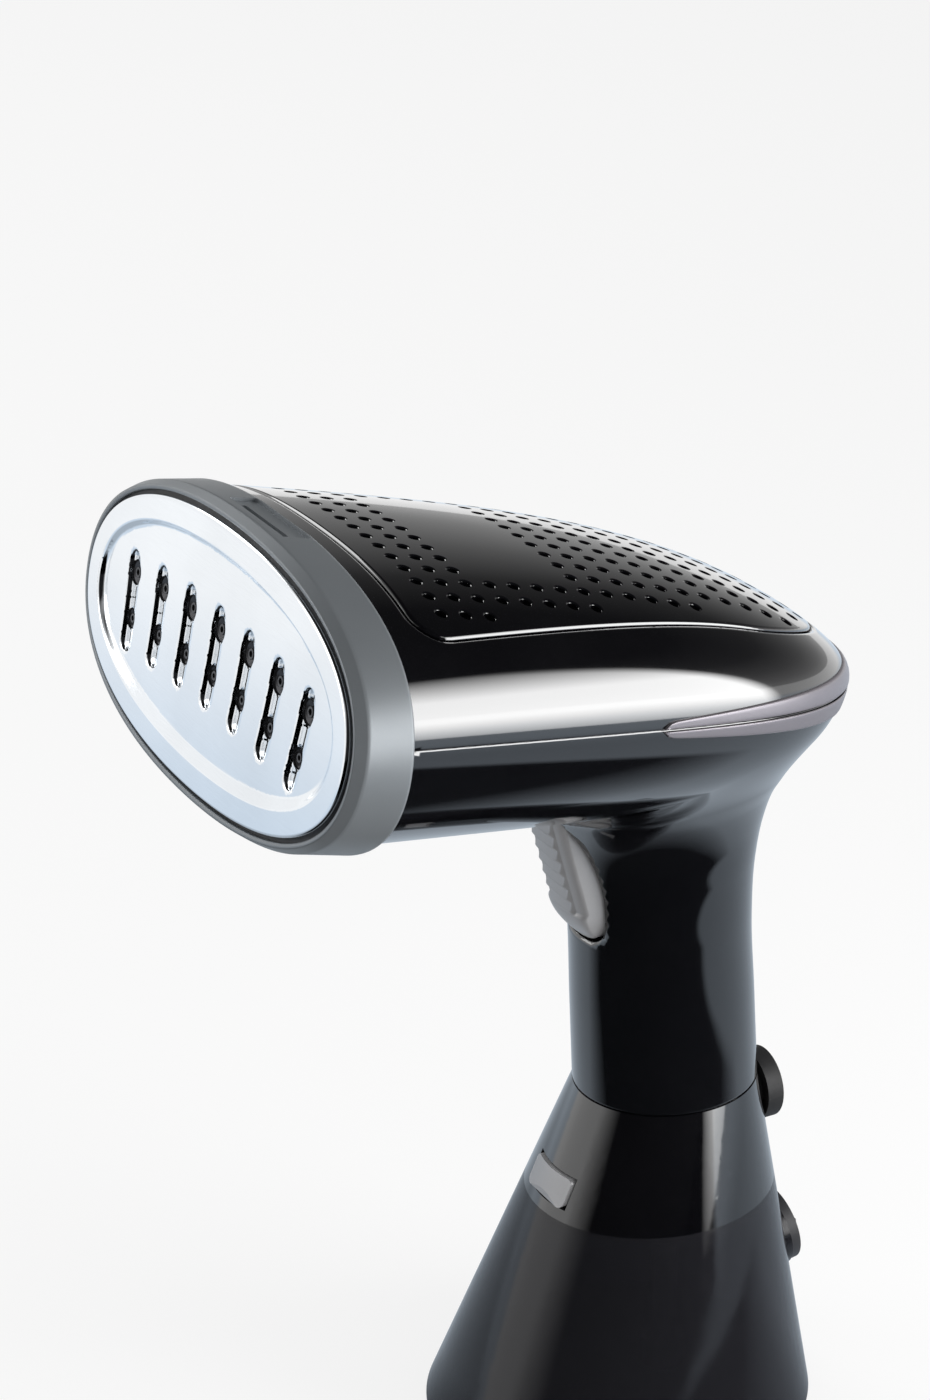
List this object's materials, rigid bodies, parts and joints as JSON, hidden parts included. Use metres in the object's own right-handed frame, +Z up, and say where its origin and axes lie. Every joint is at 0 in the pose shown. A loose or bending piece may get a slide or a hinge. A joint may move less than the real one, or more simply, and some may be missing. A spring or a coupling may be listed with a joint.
{
  "type": "garment steamer",
  "caption": "Handheld garment steamer: wide oval steam plate, perforated tapering head, upright grip with trigger, flared removable water tank.",
  "frame": {"origin": "On the underside of the foot pad, below the middle of the grip's lower end", "axes": "+Z up from the floor to the head, -Y towards the steam plate, X across and the shells mirror in it"},
  "size_m": [0.1358, 0.1639, 0.2559],
  "materials": {
    "polished_steel": "polished bright stainless steel",
    "black_rubber": "black silicone rubber",
    "ring_grey": "satin blue-grey moulded plastic",
    "gloss_black": "piano-black gloss moulding",
    "accent_silver": "satin silver-mauve metallised trim",
    "trigger_grey": "satin light grey moulding",
    "smoke_tank": "smoke-tinted see-through moulding",
    "dark_plastic": "fine-textured dark moulding",
    "foot_rubber": "matt anti-slip rubber",
    "cast_aluminium": "as-cast aluminium",
    "sheet_steel": "plain bright steel",
    "insulator": "mica-filled insulating sheet",
    "fuse_body": "lacquered metal can",
    "coil_wrap": "copper winding under tape",
    "clear_hose": "milky silicone hose",
    "white_plastic": "natural white moulding",
    "filter_mesh": "sintered filter plastic",
    "lead_cover": "glass-braid covered wire"
  },
  "bodies": {
    "housing": {"accent_lower": "accent_silver", "accent_upper": "accent_silver", "base_collar": "gloss_black", "button_spring": "sheet_steel", "chamber_lid": "sheet_steel", "chamber_seal": "black_rubber", "cord_gland": "black_rubber", "dock_seal": "black_rubber", "front_ring": "ring_grey", "fuse_clip": "sheet_steel", "heater_block": "cast_aluminium", "heater_insulator": "insulator", "heater_leads": "lead_cover", "heater_screws": "sheet_steel", "heating_element": "sheet_steel", "inlet_filter": "filter_mesh", "inlet_hose": "black_rubber", "main_housing": "gloss_black", "outlet_hose": "clear_hose", "pickup_tube": "white_plastic", "plate_gasket": "black_rubber", "pump_coil": "coil_wrap", "pump_screws": "sheet_steel", "pump_spring": "sheet_steel", "pump_tube": "white_plastic", "pump_yoke": "sheet_steel", "shell_screws": "sheet_steel", "steam_plate": "polished_steel", "switch_body": "dark_plastic", "terminal_block": "dark_plastic", "thermal_fuse": "fuse_body", "thermostat": "sheet_steel", "top_cover": "gloss_black", "trigger_pin": "sheet_steel", "trigger_spring": "sheet_steel", "upper_shell": "gloss_black"},
    "trigger": {"trigger": "trigger_grey"},
    "switch_button": {"switch_button": "white_plastic"},
    "pump_plunger": {"pump_plunger": "sheet_steel"},
    "release_button": {"release_button": "trigger_grey"},
    "tank": {"water_tank": "smoke_tank", "tank_base": "dark_plastic", "foot_pad": "foot_rubber"},
    "filler_plug": {"filler_plug": "dark_plastic"}
  },
  "joints": [
    {"name": "trigger_press", "type": "hinge", "parent": "housing", "child": "trigger", "pos_m": [0, -0.022, 0.172], "axis": [1, 0, 0], "range_deg": [0, 8], "stiffness_Nm_per_rad": 0.4, "springref_deg": -5.73, "deforming": ["trigger_spring"]},
    {"name": "switch_press", "type": "slide", "parent": "housing", "child": "switch_button", "axis": [0, 1, 0], "range_m": [0, 0.0037]},
    {"name": "plunger_stroke", "type": "slide", "parent": "housing", "child": "pump_plunger", "axis": [0, 0, 1], "range_m": [-0.0017, 0.002], "stiffness_N_per_m": 200, "deforming": ["pump_spring"]},
    {"name": "release_press", "type": "slide", "parent": "housing", "child": "release_button", "axis": [0, 1, 0], "range_m": [0, 0.0025], "stiffness_N_per_m": 400, "springref_m": -0.001, "deforming": ["button_spring"]},
    {"name": "tank_removal", "type": "slide", "parent": "housing", "child": "tank", "axis": [0, 0, -1], "range_m": [0, 0.07]},
    {"name": "plug_removal", "type": "slide", "parent": "tank", "child": "filler_plug", "axis": [0, 0.9864, 0.1644], "range_m": [0, 0.015]}
  ],
  "couplings": [
    {"joint": "switch_press", "follows": "trigger_press", "m_per_rad": 0.0248}
  ]
}
